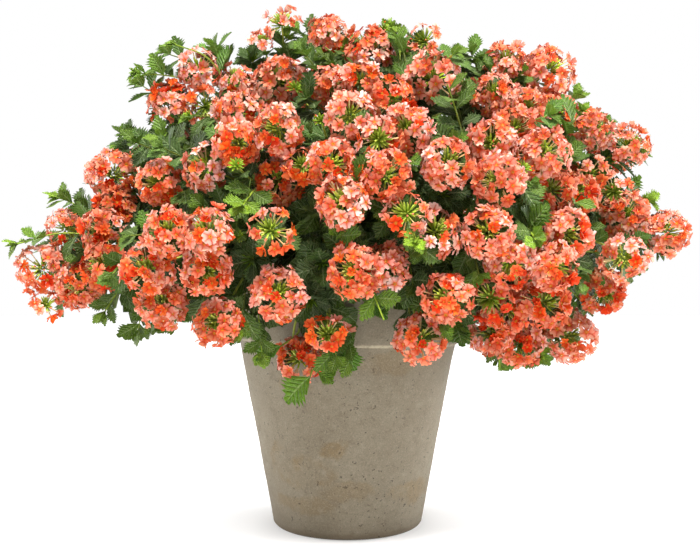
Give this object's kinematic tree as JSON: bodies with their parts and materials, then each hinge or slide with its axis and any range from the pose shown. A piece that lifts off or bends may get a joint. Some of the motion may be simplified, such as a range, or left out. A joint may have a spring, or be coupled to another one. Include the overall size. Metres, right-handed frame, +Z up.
{
  "type": "potted verbena plant in flower",
  "caption": "Mounded coral-salmon verbena in full flower, with forked stems, domed flower heads and toothed leaves, in a plain tapered concrete pot.",
  "frame": {"origin": "centre of the pot's foot, on the surface it stands on", "axes": "+Z up along the pot's axis, -Y towards the front of the plant as pictured, +X to the right of that view"},
  "size_m": [0.6881, 0.4671, 0.5417],
  "materials": {
    "concrete": "matte",
    "soil": "matte",
    "woody_stem": "matte",
    "petals": "matte",
    "leaf": "satin"
  },
  "bodies": {
    "root": {"flowering_stem_01": "petals", "flowering_stem_02": "petals", "flowering_stem_03": "petals", "flowering_stem_04": "petals", "flowering_stem_05": "petals", "flowering_stem_06": "petals", "flowering_stem_07": "petals", "flowering_stem_08": "petals", "flowering_stem_09": "petals", "flowering_stem_10": "petals", "flowering_stem_11": "petals", "flowering_stem_12": "petals", "flowering_stem_13": "petals", "flowering_stem_14": "petals", "flowering_stem_15": "petals", "flowering_stem_16": "petals", "flowering_stem_17": "petals", "flowering_stem_18": "petals", "flowering_stem_19": "petals", "flowering_stem_20": "petals", "flowering_stem_21": "petals", "flowering_stem_22": "petals", "flowering_stem_23": "petals", "flowering_stem_24": "petals", "flowering_stem_25": "petals", "leafy_shoot_01": "leaf", "leafy_shoot_02": "leaf", "leafy_shoot_03": "leaf", "leafy_shoot_04": "leaf", "leafy_shoot_05": "leaf", "leafy_shoot_06": "leaf", "leafy_shoot_07": "leaf", "leafy_shoot_08": "leaf", "leafy_shoot_09": "leaf", "leafy_shoot_10": "leaf", "leafy_shoot_11": "leaf", "leafy_shoot_12": "leaf", "leafy_shoot_13": "leaf", "leafy_shoot_14": "leaf", "leafy_shoot_15": "leaf", "leafy_shoot_16": "leaf", "leafy_shoot_17": "leaf", "leafy_shoot_18": "leaf", "leafy_shoot_19": "leaf", "leafy_shoot_20": "leaf", "leafy_shoot_21": "leaf", "leafy_shoot_22": "leaf", "leafy_shoot_23": "leaf", "leafy_shoot_24": "leaf", "leafy_shoot_25": "leaf", "leafy_shoot_26": "leaf", "leafy_shoot_27": "leaf", "leafy_shoot_28": "leaf", "leafy_shoot_29": "leaf", "leafy_shoot_30": "leaf", "leafy_shoot_31": "leaf", "pot": "concrete", "potting_soil": "soil", "root_crown": "woody_stem"}
  },
  "joints": []
}
